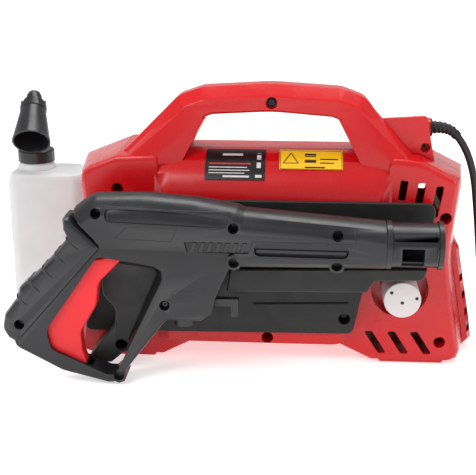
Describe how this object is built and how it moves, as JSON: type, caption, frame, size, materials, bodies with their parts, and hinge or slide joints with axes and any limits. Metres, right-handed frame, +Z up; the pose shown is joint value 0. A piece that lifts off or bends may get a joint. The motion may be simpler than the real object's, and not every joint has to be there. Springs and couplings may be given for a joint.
{
  "type": "pressure washer",
  "caption": "Compact portable pressure washer: two-part shell with a carry handle, hung spray gun, foam bottle, mains cord, and a modelled motor, pump and gun valve.",
  "frame": {"origin": "on the floor under the middle of the machine, its gun and its bottle, without the cord", "axes": "+X to the right, towards the gun's muzzle; +Y to the back; +Z up. The gun hangs on the front, which faces -Y"},
  "size_m": [0.7525, 0.2622, 0.2632],
  "materials": {
    "red_shell": "glossy moulded red plastic",
    "black_plastic": "semi-gloss moulded black plastic",
    "charcoal_plastic": "matte charcoal plastic",
    "trigger_red": "satin red plastic",
    "light_grey": "satin light grey plastic",
    "milky_plastic": "translucent blow-moulded plastic",
    "label_black": "printed film",
    "label_yellow": "printed film",
    "cord_rubber": "soft black rubber",
    "steel": "turned steel",
    "screw_steel": "dark zinc",
    "alloy": "die-cast",
    "brass": "turned brass",
    "rotor_copper": "varnished copper winding on a steel shaft"
  },
  "bodies": {
    "machine": {"bearing_left": "steel", "bearing_right": "steel", "capacitor": "light_grey", "cord_box": "red_shell", "cord_coil": "cord_rubber", "cord_gland": "cord_rubber", "cord_tail": "cord_rubber", "cord_tube": "cord_rubber", "front_shell": "red_shell", "holder_panel": "charcoal_plastic", "inlet_connector": "charcoal_plastic", "inlet_filter": "steel", "motor_can": "steel", "motor_end_plate": "alloy", "notice_label": "label_yellow", "outlet_connector": "brass", "panel_screw": "screw_steel", "plug": "cord_rubber", "pressure_switch": "charcoal_plastic", "pump_head": "alloy", "rating_label": "label_black", "rear_shell": "red_shell", "rubber_foot_left_front": "cord_rubber", "rubber_foot_left_rear": "cord_rubber", "rubber_foot_right_front": "cord_rubber", "rubber_foot_right_rear": "cord_rubber", "shell_screw_foot": "screw_steel", "shell_screw_handle": "screw_steel", "shell_screw_left": "screw_steel", "shell_screw_middle": "screw_steel", "shell_screw_right": "screw_steel", "side_vent_cover": "red_shell", "switch_body": "charcoal_plastic"},
    "gun": {"gun_front_shell": "black_plastic", "gun_rear_shell": "black_plastic", "gun_screw_grip": "screw_steel", "gun_screw_guard": "screw_steel", "gun_screw_middle": "screw_steel", "gun_screw_rear": "screw_steel", "trigger_pin": "steel", "valve_block": "brass", "valve_spring": "steel", "outlet_tube": "brass", "bayonet_socket": "black_plastic", "hose_socket": "black_plastic"},
    "trigger": {"trigger": "trigger_red"},
    "valve_pin": {"valve_pin": "steel"},
    "hose_clip": {"hose_clip": "black_plastic"},
    "rotor": {"armature": "rotor_copper", "cooling_fan": "charcoal_plastic", "swash_plate": "steel"},
    "piston_1": {"piston_1": "steel"},
    "piston_2": {"piston_2": "steel"},
    "piston_3": {"piston_3": "steel"},
    "inlet_cap": {"inlet_cap": "light_grey"},
    "switch_knob": {"switch_knob": "black_plastic"},
    "bottle": {"foam_bottle": "milky_plastic"},
    "foam_head": {"foam_collar": "black_plastic", "foam_nozzle": "black_plastic", "pickup_tube": "milky_plastic"}
  },
  "joints": [
    {"name": "gun_lift_off", "type": "slide", "parent": "machine", "child": "gun", "axis": [0, -1, 0], "range_m": [0, 0.12]},
    {"name": "trigger_pull", "type": "hinge", "parent": "gun", "child": "trigger", "pos_m": [-0.08222, -0.1099, 0.1265], "axis": [0, 1, 0], "range_deg": [0, 10], "stiffness_Nm_per_rad": 1.2},
    {"name": "valve_push", "type": "slide", "parent": "gun", "child": "valve_pin", "axis": [1, 0, 0], "range_m": [0, 0.003]},
    {"name": "hose_clip_press", "type": "slide", "parent": "gun", "child": "hose_clip", "axis": [-1, 0, 0], "range_m": [0, 0.005], "stiffness_N_per_m": 200},
    {"name": "rotor_spin", "type": "hinge", "parent": "machine", "child": "rotor", "pos_m": [0.04378, -0.0029, 0.095], "axis": [1, 0, 0], "continuous": true},
    {"name": "piston_1_stroke", "type": "slide", "parent": "machine", "child": "piston_1", "axis": [1, 0, 0], "range_m": [0, 0.004], "stiffness_N_per_m": 400},
    {"name": "piston_2_stroke", "type": "slide", "parent": "machine", "child": "piston_2", "axis": [1, 0, 0], "range_m": [0, 0.004], "stiffness_N_per_m": 400},
    {"name": "piston_3_stroke", "type": "slide", "parent": "machine", "child": "piston_3", "axis": [1, 0, 0], "range_m": [0, 0.004], "stiffness_N_per_m": 400},
    {"name": "inlet_cap_off", "type": "slide", "parent": "machine", "child": "inlet_cap", "axis": [0, -1, 0], "range_m": [0, 0.045]},
    {"name": "switch_turn", "type": "hinge", "parent": "machine", "child": "switch_knob", "pos_m": [-0.08622, 0.0571, 0.128], "axis": [0, 1, 0], "range_deg": [0, 90]},
    {"name": "bottle_pick_up", "type": "slide", "parent": "machine", "child": "bottle", "axis": [0, 0, 1], "range_m": [0, 0.15]},
    {"name": "foam_head_turn", "type": "hinge", "parent": "bottle", "child": "foam_head", "pos_m": [-0.21572, 0.1011, 0.158], "axis": [0, 0, 1], "range_deg": [-170, 170]}
  ],
  "couplings": [
    {"joint": "valve_push", "follows": "trigger_pull", "m_per_rad": 0.014}
  ]
}
